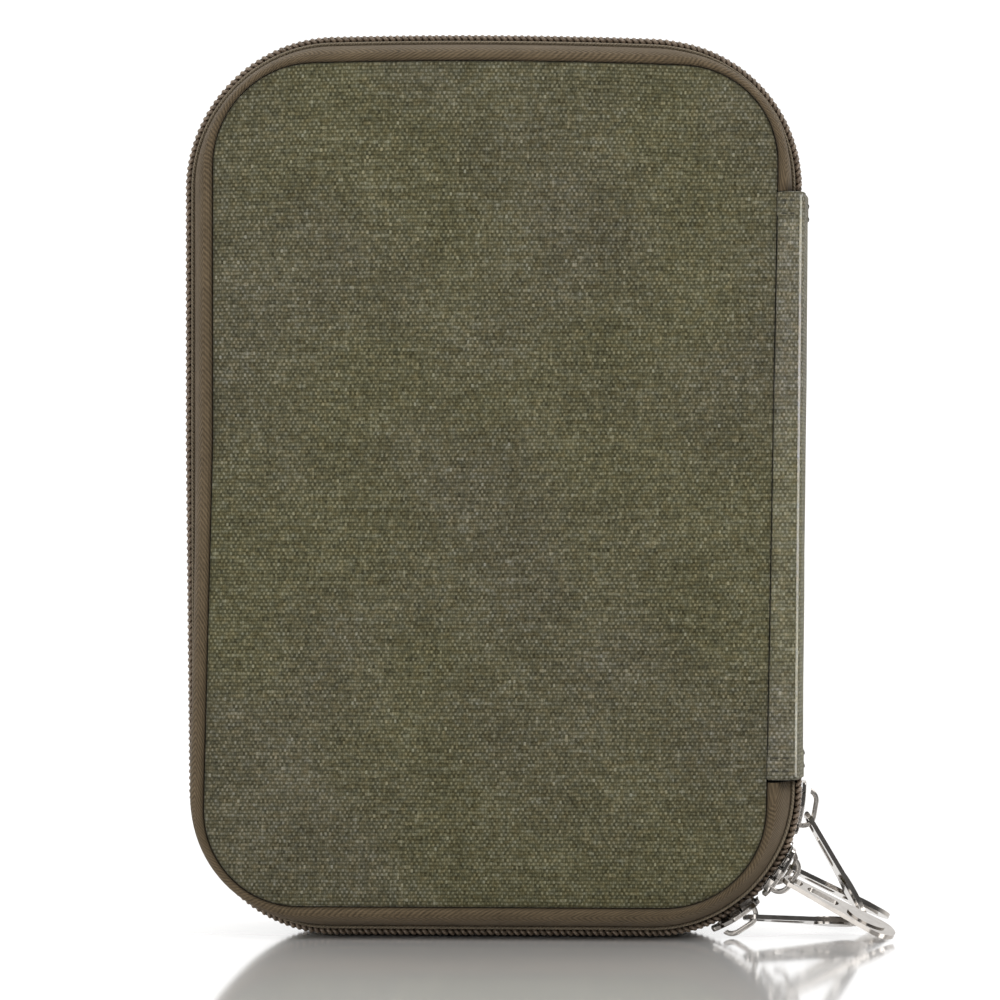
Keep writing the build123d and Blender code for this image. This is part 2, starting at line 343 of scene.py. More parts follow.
CANVAS = canvas_material("canvas", (0.027, 0.025, 0.011), (0.096, 0.090, 0.048), (0.265, 0.255, 0.175))
# Lighter copy of the canvas, used for the spine
LIGHTER_CANVAS = canvas_material("lighter_canvas", (0.045, 0.041, 0.022), (0.144, 0.136, 0.085), (0.35, 0.335, 0.25))
# Pale canvas for the spine's fold line: painted highlight, with some real wear
WORN_FOLD_HIGHLIGHT = canvas_material("worn_fold_highlight_canvas", (0.34, 0.33, 0.27), (0.52, 0.50, 0.42), (0.75, 0.73, 0.65))
TAPE = twill_material("zipper_tape", (0.048, 0.034, 0.018), (0.186, 0.135, 0.078), 1.25, 1.2, 0.05, 3.2)
# Paler tape for the tape's folded edge: painted highlight where the fold catches the light
TAPE_FOLD_HIGHLIGHT = twill_material("tape_fold_highlight", (0.13, 0.105, 0.070), (0.27, 0.22, 0.155), 0.8, 0.8)
COIL = coil_material("zipper_coil", (0.130, 0.096, 0.068), (0.300, 0.228, 0.165))
CORD = twill_material("coil_cord", (0.060, 0.044, 0.030), (0.130, 0.098, 0.068), 0.5, 0.6)
LINING = twill_material("lining", (0.028, 0.028, 0.024), (0.075, 0.074, 0.062), 0.30, 0.0, 0.2)
BINDING = ribbed_material("binding", (0.020, 0.017, 0.014), (0.070, 0.060, 0.048), 0.7)
ELASTIC = ribbed_material("elastic", (0.010, 0.010, 0.010), (0.045, 0.045, 0.043), 0.9)
NET = mesh_material("mesh", (0.012, 0.012, 0.011), (0.05, 0.05, 0.045))
NICKEL = metal_material("nickel", (0.405, 0.378, 0.350), (0.490, 0.460, 0.428))
THREAD = twill_material("thread", (0.022, 0.020, 0.011), (0.085, 0.079, 0.048), 0.35, 1.0, 0.2)
BOARD = board_material("foam_board", (0.040, 0.040, 0.035), (0.075, 0.075, 0.064))


# ---------------------------------------------------------------- mesh helpers

HOOP_STEP = 2.0         # spacing of points along a hoop
TUBE_SIDES = 8
# Rings between a disc's last profile point and its middle, as shares of that ring
RING_SHARES = (0.93, 0.86, 0.78, 0.70, 0.62, 0.54, 0.46, 0.38, 0.30, 0.22, 0.14, 0.07)
STITCH_RADIUS = 0.17
STITCH_SHARE = 0.72     # visible part of a stitch's pitch
# Slack of the soft shell: the span over which each effect grows, then its slope or height
LEAN_ACROSS = (-62.0, 62.0)
LEAN_DEPTH = (14.0, 22.0)
LEAN_SPINE = (62.5, 67.5)
LEAN_MIDDLE = 100.0
RIGHT_LEAN, LEFT_LEAN = 0.018, 0.035
SIT_ACROSS = (-69.0, 1.0)
SIT_TOP, SIT_SLOPE = 110.0, 0.010
ARCH_HEIGHT = (140.0, 198.0)
ARCH_MIDDLE, ARCH_HALF, ARCH_RISE = -13.0, 54.0, 1.3


def add_object(name, data):
    """Object with the given data, linked to the scene."""
    obj = bpy.data.objects.new(name, data)
    bpy.context.scene.collection.objects.link(obj)
    return obj


def make_object(name, points, faces, uvs, material):
    """Mesh from points in millimetres; uvs holds one (u, v) per point, in millimetres."""
    mesh = bpy.data.meshes.new(name)
    mesh.from_pydata([[c * MM for c in p] for p in points], [], faces)
    layer = mesh.uv_layers.new(name="weave")
    for loop in mesh.loops:
        layer.data[loop.index].uv = uvs[loop.vertex_index]
    mesh.materials.append(material)
    mesh.polygons.foreach_set("use_smooth", [True] * len(mesh.polygons))
    mesh.update()
    return add_object(name, mesh)


def bake(obj):
    """Applies the object's modifiers to its mesh."""
    bpy.context.view_layer.update()
    shown = obj.evaluated_get(bpy.context.evaluated_depsgraph_get())
    mesh = bpy.data.meshes.new_from_object(shown)
    obj.modifiers.clear()
    obj.data = mesh
    return obj


def thicken(obj, thickness, offset):
    """Gives a sheet its thickness: behind its face with offset -1, before it with 1, both with 0."""
    modifier = obj.modifiers.new("thickness", "SOLIDIFY")
    modifier.thickness = thickness * MM
    modifier.offset = offset
    modifier.use_quality_normals = True
    return bake(obj)


def quads(tall, wide, around=False, base=0):
    """Faces between tall rows of wide points; base is the number of the first point."""
    faces = []
    for i in range(tall - 1):
        low, high = base + i * wide, base + (i + 1) * wide
        for j in range(wide if around else wide - 1):
            k = (j + 1) % wide
            faces.append((low + j, low + k, high + k, high + j))
    return faces


def grid_object(name, rows, uvs, material, flip=False, around=False):
    """Quad grid: rows of equally many points. around joins the last column to the first."""
    faces = quads(len(rows), len(rows[0]), around)
    if flip:
        faces = [face[::-1] for face in faces]
    points = [p for row in rows for p in row]
    flat_uvs = [uv for row in uvs for uv in row]
    return make_object(name, points, faces, flat_uvs, material)


def shrink(rect, inset):
    """Rectangle moved inwards on all four sides."""
    x_low, x_high, z_low, z_high = rect
    return (x_low + inset, x_high - inset, z_low + inset, z_high - inset)


def running_lengths(points):
    """Distance walked from the first point to each point of a path."""
    lengths = [0.0]
    for before, here in zip(points, points[1:]):
        lengths.append(lengths[-1] + math.dist(here, before))
    return lengths


def outline_runs(rect, corner, low=None, high=None):
    """Straight and round runs of a rounded rectangle.

    They go from the height low on its right side, round by the bottom, to the height high."""
    x_low, x_high, z_low, z_high = rect
    middle = (z_low + z_high) / 2
    low = middle if low is None else low
    high = middle if high is None else high
    left, right = x_low + corner, x_high - corner
    base, top = z_low + corner, z_high - corner
    return [
        ("line", (x_high, low), (x_high, base), (1, 0)),
        ("arc", (right, base), corner, 0),
        ("line", (right, z_low), (left, z_low), (0, -1)),
        ("arc", (left, base), corner, -90),
        ("line", (x_low, base), (x_low, top), (-1, 0)),
        ("arc", (left, top), corner, 180),
        ("line", (left, z_high), (right, z_high), (0, 1)),
        ("arc", (right, top), corner, 90),
        ("line", (x_high, top), (x_high, high), (1, 0)),
    ]


def run_length(run):
    if run[0] == "line":
        return math.dist(run[1], run[2])
    return run[2] * math.pi / 2


def run_at(run, share):
    """Point and outward normal at a share of a run."""
    if run[0] == "line":
        start, end, normal = run[1:]
        point = [a + (b - a) * share for a, b in zip(start, end)]
        return point, normal
    centre, corner, start = run[1:]
    turn = math.radians(start - 90 * share)
    normal = (math.cos(turn), math.sin(turn))
    return [centre[0] + corner * normal[0], centre[1] + corner * normal[1]], normal


def walk(runs, step):
    """Shares along every run, about one step apart on a reference outline."""
    stops = []
    for number, run in enumerate(runs):
        count = max(1, round(run_length(run) / step))
        stops += [(number, i / count) for i in range(count)]
    return stops + [(len(runs) - 1, 1.0)]


def at_length(runs, along):
    """Point and outward normal at a distance along the runs."""
    for run in runs:
        length = run_length(run)
        if along <= length:
            return run_at(run, along / length if length else 0)
        along -= length
    return run_at(runs[-1], 1.0)


def open_outline(inset, clear=SPINE_GAP):
    """The pouch's outline moved inwards, open at the spine and clear of the spine's ends."""
    rect = shrink(OUTER_RECT, inset)
    return outline_runs(rect, OUTER_CORNER - inset, SPINE_LOW - clear, SPINE_HIGH + clear)


def hoop(name, profile, side, material, thickness, offset, from_panel=False):
    """Strip that runs round the pouch between the spine's ends.

    The profile holds (inset, y), with the inset from the pouch's outline. With from_panel it
    holds (share, y): 0 lies on the panel's outline and 1 on the band's free edge."""
    edge = open_outline(EDGE_INSET)
    inner = outline_runs(PANEL_RECT, PANEL_CORNER, SPINE_LOW - SPINE_GAP, SPINE_HIGH + SPINE_GAP)
    outlines = [edge if from_panel else open_outline(inset) for inset, y in profile]
    stops = walk(edge, HOOP_STEP)
    lengths = running_lengths([run_at(edge[number], part)[0] for number, part in stops])
    rows, uvs = [], []
    for (number, part), along in zip(stops, lengths):
        row = []
        for runs, (share, y) in zip(outlines, profile):
            x, z = run_at(runs[number], part)[0]
            if from_panel:
                x_in, z_in = run_at(inner[number], part)[0]
                x, z = x_in + (x - x_in) * share, z_in + (z - z_in) * share
            row.append((x, side * y, z))
        rows.append(row)
        uvs.append([(along, across) for across in running_lengths(row)])
    obj = grid_object(name, rows, uvs, material, flip=side < 0)
    return thicken(obj, thickness, offset)


def crumple(x, z, side):
    """Slow unevenness of padded cloth with a finer one on it."""
    slow = noise.noise(Vector((x * 0.03, z * 0.03, side)))
    return slow + 0.35 * noise.noise(Vector((x, z, 9)) * 0.11)


def disc(name, rect, corner, profile, side, material,
         step=3.0, rumple=0.0, closed_back=None, inwards=False):
    """Rounded plate made of rings: the profile holds (inset, y), from the rim to the middle.

    Its face looks away from the pouch's middle plane, or towards it with inwards."""
    stops = walk(outline_runs(rect, corner), step)[:-1]
    x_mid, z_mid = (rect[0] + rect[1]) / 2, (rect[2] + rect[3]) / 2
    lanes = []
    for inset, y in profile:
        runs = outline_runs(shrink(rect, inset), max(corner - inset, 0.05))
        lanes.append([(*run_at(runs[number], part)[0], y) for number, part in stops])
    last = lanes[-1]
    for share in RING_SHARES:
        lanes.append([(x_mid + (x - x_mid) * share, z_mid + (z - z_mid) * share, y) for x, z, y in last])
    if closed_back is not None:
        lanes.insert(0, [(x, z, closed_back) for x, z, y in lanes[0]])
    rim_depth = profile[0][1] + 0.5
    points, uvs = [], []
    for x, z, y in [point for lane in lanes for point in lane]:
        depth = y + (rumple * crumple(x, z, side) if y > rim_depth else 0.0)
        points.append((x, side * depth, z))
        uvs.append((x, z))
    wide = len(stops)
    faces = [(a, d, c, b) for a, b, c, d in quads(len(lanes), wide, around=True)]
    faces.append(tuple(range((len(lanes) - 1) * wide, len(lanes) * wide))[::-1])
    if closed_back is not None:
        faces.append(tuple(range(wide)))
    if (side > 0) != inwards:
        faces = [face[::-1] for face in faces]
    return make_object(name, points, faces, uvs, material)


def tube_along(name, centres, frames, radius, material):
    """Round tube along centres; frames gives two unit vectors across it at each centre."""
    turns = [2 * math.pi * i / TUBE_SIDES for i in range(TUBE_SIDES)]
    rows, uvs = [], []
    for centre, (first, second), along in zip(centres, frames, running_lengths(centres)):
        rows.append([[c + radius * (math.cos(turn) * a + math.sin(turn) * b)
                      for c, a, b in zip(centre, first, second)] for turn in turns])
        uvs.append([(along, radius * turn) for turn in turns])
    obj = grid_object(name, rows, uvs, material, around=True)
    cap_ends(obj)
    return obj


def bead_along(name, runs, inset, y, spacing, radius, material):
    """Round bead that follows an outline at an inset from it."""
    total = sum(run_length(run) for run in runs)
    count = int(total / spacing)
    centres, frames = [], []
    for i in range(count + 1):
        (x, z), (nx, nz) = at_length(runs, total * i / count)
        centres.append((x - nx * inset, y, z - nz * inset))
        frames.append(((0.0, 1.0, 0.0), (nx, 0.0, nz)))
    return tube_along(name, centres, frames, radius, material)


def cap_ends(obj):
    """Closes open tube ends and points all faces outwards."""
    work = bmesh.new()
    work.from_mesh(obj.data)
    bmesh.ops.holes_fill(work, edges=[e for e in work.edges if e.is_boundary])
    bmesh.ops.recalc_face_normals(work, faces=work.faces)
    work.to_mesh(obj.data)
    work.free()


def ease(value, start, end):
    """Smooth step from 0 at start to 1 at end."""
    share = min(1.0, max(0.0, (value - start) / (end - start)))
    return share * share * (3 - 2 * share)


def settle(obj):
    """Gives a soft piece the pouch's slack: a leaning face, an arched top and a low side that sits in."""
    for vertex in obj.data.vertices:
        x, y, z = (c / MM for c in vertex.co)
        below = max(0.0, SIT_TOP - z)
        right = ease(x, *LEAN_ACROSS)
        front = ease(-y, *LEAN_DEPTH)
        held = 1 - 0.5 * ease(x, *LEAN_SPINE)
        lean = right * held * RIGHT_LEAN * (z - LEAN_MIDDLE) - (1 - right) * LEFT_LEAN * below
        sit = SIT_SLOPE * below * (1 - ease(x, *SIT_ACROSS))
        arch = ease(z, *ARCH_HEIGHT) * max(0.0, 1 - ((x - ARCH_MIDDLE) / ARCH_HALF) ** 2)
        vertex.co.x += (front * lean + sit) * MM
        vertex.co.z += ARCH_RISE * arch * MM


def finish_piece(obj, body, slot, *nodes):
    """Slack, body and replaced nodes of a soft piece; the slot argument is not used."""
    settle(obj)
    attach(obj, body)
    if nodes:
        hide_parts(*nodes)
    return obj


def flex_piece(obj, end, slot, *nodes):
    """A strip of a cover: gives it the pouch's slack, bakes its transform and hides the nodes it replaces.
    """
    settle(obj)
    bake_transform(obj)
    if nodes:
        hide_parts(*nodes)
    return obj


# ---------------------------------------------------------------- covers

# Band of zipper tape, from the groove at the panel to its free edge beside the coil (share, y)
BAND_PROFILE = [
    (-0.01, 21.80), (0.03, 22.20), (0.08, 22.68), (0.13, 23.02), (0.19, 23.22), (0.29, 23.16),
    (0.41, 22.88), (0.53, 22.34), (0.65, 21.50), (0.76, 20.35), (0.85, 19.05), (0.92, 17.75),
    (0.965, 16.80), (0.985, 16.20), (0.99, 15.60), (1.00, 15.10), (1.00, 14.00), (1.00, 13.00),
]
# Panel: rolled rim, then a slow crown towards the middle (inset, y)
PANEL_PROFILE = [
    (0.22, 21.8), (0.20, 22.1), (0.30, 22.45), (0.55, 22.76), (0.95, 23.00), (1.5, 23.18), (2.2, 23.32),
    (3.4, 23.42), (5.7, 23.50), (9.2, 23.58), (14.0, 23.64), (21.0, 23.70),
]
# Tape under the body's coil half, tape under the cover's coil half, and the cover's lining (inset, y)
FLANGE_PROFILE = [
    (1.15, 4.1), (1.25, 4.5), (1.7, 4.9), (1.95, 5.6), (2.0, 7.0), (2.0, 8.4), (1.55, 8.65), (1.45, 8.85),
    (1.6, 9.1), (2.0, 9.3), (2.0, 10.4), (2.0, 11.0),
]
SHELF_PROFILE = [
    (2.42, 16.2), (2.38, 15.4), (2.1, 15.05), (1.75, 14.85), (1.70, 14.2), (1.70, 13.2), (1.72, 12.4),
]
TRAY_PROFILE = [
    (2.55, 13.2), (2.60, 15.5), (2.9, 17.6), (3.8, 18.9), (5.6, 19.45), (9.0, 19.55), (16.0, 19.55),
]
# Coil: a turn's half sizes, its centre's inset and offset from the parting line, and its wire and cord
TURN_HALF_WIDE, TURN_HALF_TALL = 1.20, 0.33
COIL_INSET, COIL_OFFSET = 0.86, 0.96
WIRE_RADIUS, CORD_RADIUS = 0.53, 0.62


def make_panel(end):
    """Padded canvas panel of a cover."""
    side = SIDES[end]
    rect = shrink(PANEL_RECT, -0.1)
    panel = disc(end + "_panel_pad", rect, PANEL_CORNER, PANEL_PROFILE, side, CANVAS,
                 step=2.0, rumple=0.16, closed_back=21.7)
    finish_piece(panel, end + "_cover", "canvas", end + "_panel")


def make_band(end):
    """Zipper tape between a cover's panel and its coil."""
    side = SIDES[end]
    band = hoop(end + "_tape_band", BAND_PROFILE, side, TAPE, thickness=0.45, offset=-1.0, from_panel=True)
    flex_piece(band, end, "zipper_tape", end + "_zip_tape", end + "_tape_ends")


def make_coil(name, side, reach, phase):
    """One half of a zipper coil: a flattened helix about a filler cord.

    reach is +1 for the half on the cover's side of the parting line, and -1 for the body's."""
    runs = open_outline(0, clear=-0.5)
    turns = int(sum(run_length(run) for run in runs) / COIL_PITCH) - 1
    steps = 12
    skew, head_lift, back_lift = 0.10, 0.95, 1.12
    centres, frames = [], []
    for i in range(turns * steps + 1):
        turn = 2 * math.pi * i / steps
        head = math.cos(turn)
        (x, z), (nx, nz) = at_length(runs, COIL_PITCH * (phase + i / steps + skew * math.sin(2 * turn)))
        lift = TURN_HALF_TALL * math.sin(turn) * (back_lift if head < 0 else head_lift)
        inset = COIL_INSET - lift
        y = ZIP_Y + reach * (COIL_OFFSET - TURN_HALF_WIDE * head)
        centres.append((x - nx * inset, side * y, z - nz * inset))
        slope_y = reach * TURN_HALF_WIDE * math.sin(turn)
        slope_n = TURN_HALF_TALL * math.cos(turn)
        size = math.hypot(slope_y, slope_n)
        across = (nx * -slope_y / size, side * slope_n / size, nz * -slope_y / size)
        frames.append(((-nz, 0.0, nx), across))
    coil = tube_along(name, centres, frames, WIRE_RADIUS, COIL)
    cord_y = side * (ZIP_Y + reach * (COIL_OFFSET + 0.05))
    cord = bead_along(name + "_cord", runs, COIL_INSET, cord_y,
                      spacing=2.5, radius=CORD_RADIUS, material=CORD)
    return coil, cord


def make_tape_edge(end):
    """Folded edge of the tape: a slim bead between the band and the coil, paler than the tape to paint the
    fold's highlight.
    """
    inset, depth = 2.05, 16.3
    bead = bead_along(end + "_tape_fold_highlight", open_outline(inset), 0.0, SIDES[end] * depth,
                      spacing=2.0, radius=0.33, material=TAPE_FOLD_HIGHLIGHT)
    flex_piece(bead, end, "zipper_tape")


def make_zipper(end):
    """Both coil halves with the tape under each: the body's flange and the cover's shelf."""
    side = SIDES[end]
    coil, cord = make_coil(end + "_outer_teeth", side, 1, 0.0)
    flex_piece(coil, end, "zipper_coil", end + "_coil", end + "_coil_ends")
    flex_piece(cord, end, "zipper_tape")
    coil, cord = make_coil(end + "_inner_teeth", side, -1, 0.5)
    finish_piece(coil, BODY, "zipper_coil", end + "_inner_coil")
    finish_piece(cord, BODY, "zipper_tape")
    flange = hoop(end + "_inner_tape_strip", FLANGE_PROFILE, side, TAPE, thickness=0.4, offset=1.0)
    finish_piece(flange, BODY, "zipper_tape", end + "_inner_tape")
    shelf = hoop(end + "_outer_tape_strip", SHELF_PROFILE, side, TAPE, thickness=0.4, offset=-1.0)
    flex_piece(shelf, end, "zipper_tape")


def make_cover_lining(end):
    """Lining tray of a cover, with its face towards the compartment."""
    side = SIDES[end]
    lining = disc(end + "_cover_tray", OUTER_RECT, OUTER_CORNER, TRAY_PROFILE, side, LINING, inwards=True)
    thicken(lining, 0.35, 1.0)
    flex_piece(lining, end, "lining", end + "_cover_lining")


# ---------------------------------------------------------------- spine

SEAM_X = PANEL_RECT[1]
CREASE_X = SPINE_FACE - 1.9
STRIP_LOW, STRIP_HIGH = SPINE_LOW - 0.4, SPINE_HIGH + 0.9
HEM = 5.4
HEM_STEP = 0.16         # how far a hem's double layer stands proud
ROLLED_END = 0.25       # how far the strip's ends turn in
# Section of the fold from the seam at the panel to the crease, then the depths of the centre's points
SPINE_FOLD = [
    (SEAM_X, 22.2), (SEAM_X + 0.12, 22.55), (SEAM_X + 0.35, 22.85), (SEAM_X + 0.8, 23.08),
    (SEAM_X + 1.5, 23.2), (SEAM_X + 2.7, 23.22), (CREASE_X - 1.6, 23.16), (CREASE_X - 0.75, 23.05),
    (CREASE_X - 0.32, 22.92), (CREASE_X - 0.08, 22.70), (CREASE_X + 0.06, 22.3),
]
SPINE_DEPTHS = (21.2, 19.2, 17.0, 15.5, 14.2, 13.4, 12.7, 12.0, 11.3, 10.6, 9.6, 8.0, 6.0, 4.0, 2.0, 0.0)


def spine_reach(y, z):
    """How far out the slack canvas of the spine bulges at a distance from the middle plane."""
    low_bulge, high_gain, sunk_edge, half_wide = 0.9, 1.05, 1.3, 22.5
    bulge = low_bulge + high_gain * ease(z, SPINE_LOW, SPINE_HIGH)
    return SPINE_FACE - sunk_edge + bulge * (1 - (y / half_wide) ** 2)


def spine_levels():
    """Heights of the spine's rows, close together at the hems."""
    first, last = STRIP_LOW + HEM + 0.5, STRIP_HIGH - HEM - 0.5
    count = 44
    near_end = (0.0, 0.25, 0.8, 2.2, HEM - 0.3, HEM + 0.05)
    levels = [STRIP_LOW + rise for rise in near_end]
    levels += [first + (last - first) * i / count for i in range(count + 1)]
    return levels + [STRIP_HIGH - drop for drop in near_end[::-1]]


def make_spine_strip(end):
    """Half of the canvas spine: the fold over the cover and the cover's share of the centre."""
    side = SIDES[end]
    rows, uvs = [], []
    for z in spine_levels():
        raised = HEM_STEP if z < STRIP_LOW + HEM or z > STRIP_HIGH - HEM else 0.0
        if z in (STRIP_LOW, STRIP_HIGH):
            raised = -ROLLED_END
        path = SPINE_FOLD + [(spine_reach(y, z), y) for y in SPINE_DEPTHS]
        row = []
        for number, (x, y) in enumerate(path):
            ahead = path[min(number + 1, len(path) - 1)]
            behind = path[max(number - 1, 0)]
            dx, dy = ahead[0] - behind[0], ahead[1] - behind[1]
            size = math.hypot(dx, dy)
            ripple = 0.10 * noise.noise(Vector((x * 0.2, y * 0.2, z * 0.06))) * min(1.0, y / 6.0)
            lift = raised + ripple
            row.append((x - dy / size * lift, side * (y + dx / size * lift), z))
        rows.append(row)
        uvs.append([(SEAM_X + across, z) for across in running_lengths(path)])
    spine = grid_object(end + "_spine_strip", rows, uvs, LIGHTER_CANVAS, flip=side > 0)
    thicken(spine, 0.8, -1.0)
    settle(spine)
    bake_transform(spine)
    nodes = [end + "_spine_fold"] + (["spine_centre"] if end == "front" else [])
    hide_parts(*nodes)


def make_fold_edge(end):
    """Pale line along the spine's fold: painted highlight where the fold catches the light, on canvas with
    some real wear.
    """
    side = SIDES[end]
    low, high = STRIP_LOW + 0.8, STRIP_HIGH - 0.8
    count = 60
    line = []
    for i in range(count + 1):
        z = low + (high - low) * i / count
        ripple = 0.06 * noise.noise(Vector((z * 0.2, side, 0)))
        line.append((CREASE_X - 0.02 + ripple, side * 22.82, z))
    across = ((1.0, 0.0, 0.0), (0.0, 1.0, 0.0))
    edge = tube_along(end + "_fold_edge", line, [across] * len(line), 0.26, WORN_FOLD_HIGHLIGHT)
    finish_piece(edge, end + "_cover", "canvas")


def make_hem_stitches(end):
    """Two stitch rows in each hem, on the fold and on the spine's centre."""
    side = SIDES[end]
    levels = (STRIP_HIGH - HEM + 0.5, STRIP_HIGH - 2.0, STRIP_LOW + HEM - 0.5, STRIP_LOW + 2.0)
    marks = []
    for z in levels:
        start, stop = (SEAM_X + 0.9, side * 23.50, z), (CREASE_X - 0.8, side * 23.40, z)
        marks += stitch_marks(start, stop, (0, side, 0))
    stitches(end + "_hem_stitches", marks, end + "_cover")
    marks = []
    for z in levels:
        for rows in ((0.8, 4.6), (4.8, 9.0)):
            start, stop = [(spine_reach(y, z) + 0.2, side * y, z) for y in rows]
            marks += stitch_marks(start, stop, (1, 0, 0))
    stitches(end + "_spine_stitches", marks, BODY)


def make_spine(end):
    """Canvas, pale fold line (painted highlight and some wear) and stitches of one half of the spine."""
    make_spine_strip(end)
    make_fold_edge(end)
    make_hem_stitches(end)


def stitch_marks(start, end, normal, pitch=2.1):
    """Start, end and normal of every stitch in a row."""
    start, end = Vector(start), Vector(end)
    count = max(1, round((end - start).length / pitch))
    step = (end - start) / count
    return [(start + step * i, start + step * (i + STITCH_SHARE), Vector(normal)) for i in range(count)]


def stitches(name, marks, body):
    """Short bowed threads that dip into the cloth at both ends."""
    points, faces, uvs = [], [], []
    sides, stops = 6, 7
    rise, sunk_end, thin_end = 0.22, 0.16, 0.55
    for start, end, normal in marks:
        across = (end - start).normalized().cross(normal)
        faces += quads(stops, sides, around=True, base=len(points))
        for i in range(stops):
            share = i / (stops - 1)
            bow = math.sin(math.pi * share)
            centre = start.lerp(end, share) + normal * (rise * bow - sunk_end)
            thick = STITCH_RADIUS * (thin_end + (1 - thin_end) * bow)
            for j in range(sides):
                turn = 2 * math.pi * j / sides
                points.append(centre + thick * (math.cos(turn) * across + math.sin(turn) * normal))
                uvs.append((share * 1.5, turn * STITCH_RADIUS))
    obj = make_object(name, points, faces, uvs, THREAD)
    cap_ends(obj)
    return finish_piece(obj, body, "canvas")


# ---------------------------------------------------------------- body

GUSSET_PROFILE = [
    (1.5, -4.75), (0.9, -4.70), (0.42, -4.45), (0.2, -4.0), (0.08, -2.8), (0.03, -1.4), (0.02, 0.0),
    (0.03, 1.4), (0.08, 2.8), (0.2, 4.0), (0.42, 4.45), (0.9, 4.70), (1.5, 4.75),
]


def make_gusset():
    """Canvas hoop between the two zippers, with its rolled edges and its lining."""
    gusset = hoop("gusset_strip", GUSSET_PROFILE, 1, CANVAS, thickness=0.7, offset=1.0)
    finish_piece(gusset, BODY, "canvas", "gusset")
    inside = [(2.55, -11.2), (2.7, -6), (2.75, 0), (2.7, 6), (2.55, 11.2)]
    lining = hoop("gusset_inside", inside, 1, LINING, thickness=0.3, offset=1.0)
    finish_piece(lining, BODY, "lining", "gusset_lining")


def make_divider():
    """Padded lining on each face of the divider board."""
    (x_low, _, z_low), (x_high, _, z_high) = box_mm("front_divider_lining")
    rect = (x_low, x_high, z_low, z_high)
    profile = [(0.0, 0.1), (0.05, 0.75), (0.35, 1.05), (1.0, 1.2), (3.0, 1.27), (8.0, 1.3), (20.0, 1.3)]
    for end, side in SIDES.items():
        pad = disc(end + "_divider_pad", rect, OUTER_CORNER - 3.2, profile, side, LINING, closed_back=0.1)
        finish_piece(pad, BODY, "lining", end + "_divider_lining")


def make_loops(node):
    """Elastic band sewn to the divider between its cable loops."""
    (x_low, _, z_low), (x_high, base, z_high) = box_mm(node)
    pitch, half, rise, thick = 20.0, 7.0, 6.3, 0.75
    flat_end, tail = 0.8, 3.2
    arc_steps, level_steps = 14, 16
    count = round((x_high - x_low) / pitch)
    flat_y = base - thick / 2
    path = [(-count * pitch / 2 - tail, flat_y)]
    for number in range(count):
        middle = (number - (count - 1) / 2) * pitch
        path.append((middle - half - flat_end, flat_y))
        for i in range(arc_steps + 1):
            turn = math.pi * i / arc_steps
            path.append((middle - half * math.cos(turn), flat_y - rise * math.sin(turn) ** 0.9))
        path.append((middle + half + flat_end, flat_y))
    path.append((count * pitch / 2 + tail, flat_y))
    levels = [z_low + (z_high - z_low) * i / level_steps for i in range(level_steps + 1)]
    rows = [[(x, y, z) for x, y in path] for z in levels]
    uvs = [[(z, along) for along in running_lengths(path)] for z in levels]
    band = grid_object(node + "_band", rows, uvs, ELASTIC)
    thicken(band, thick * 0.9, 0.0)
    finish_piece(band, BODY, "elastic", node)
    marks = []
    thread_y = base - thick - 0.05
    for number in range(count + 1):
        for shift in (-1.2, 1.2):
            x = (number - count / 2) * pitch + shift
            start, stop = (x, thread_y, z_low + 1), (x, thread_y, z_high - 1)
            marks += stitch_marks(start, stop, (0, -1, 0), pitch=1.9)
    stitches(node + "_stitches", marks, BODY)


def make_pocket(node, inward, material, slot, body, binding=None, bulge=0.5):
    """Flat pocket sewn to a lining on three sides, with a bound or folded top edge.

    inward is the direction of y in which the pocket bulges."""
    (x_low, y_low, z_low), (x_high, y_high, z_high) = box_mm(node)
    y_mid = (y_low + y_high) / 2
    wide, tall = 48, 40
    corner = 7.0
    rows, uvs = [], []
    for i in range(tall + 1):
        v = i / tall
        z = z_low + (z_high - z_low) * v
        pull = corner - math.sqrt(max(corner ** 2 - max(corner - (z - z_low), 0) ** 2, 0))
        row = []
        for j in range(wide + 1):
            u = j / wide
            x = x_low + pull + (x_high - x_low - 2 * pull) * u
            swell = bulge * math.sin(math.pi * u) ** 0.5 * min(1.0, 1.6 * v)
            swell += 0.12 * noise.noise(Vector((x * 0.08, z * 0.08, 3)))
            row.append((x, y_mid + inward * swell, z))
        rows.append(row)
        uvs.append([(x, z) for x, y, z in row])
    pocket = grid_object(node + "_cloth", rows, uvs, material, flip=inward > 0)
    thicken(pocket, 0.35, 0.0)
    finish_piece(pocket, body, slot, node)
    edge_y = y_mid + inward * bulge * 0.6
    make_piping(node + "_edge", (x_low + 1, x_high - 1), z_high, edge_y, body, binding)
    lift = y_mid + inward * 0.30
    seam = 1.2
    left, right, base = x_low + seam, x_high - seam, z_low + seam
    seams = [((x, lift, z_low + corner), (x, lift, z_high - 3)) for x in (left, right)]
    seams.append(((x_low + corner, lift, base), (x_high - corner, lift, base)))
    marks = []
    for start, end in seams:
        marks += stitch_marks(start, end, (0, inward, 0), pitch=2.4)
    stitches(node + "_seam", marks, body)


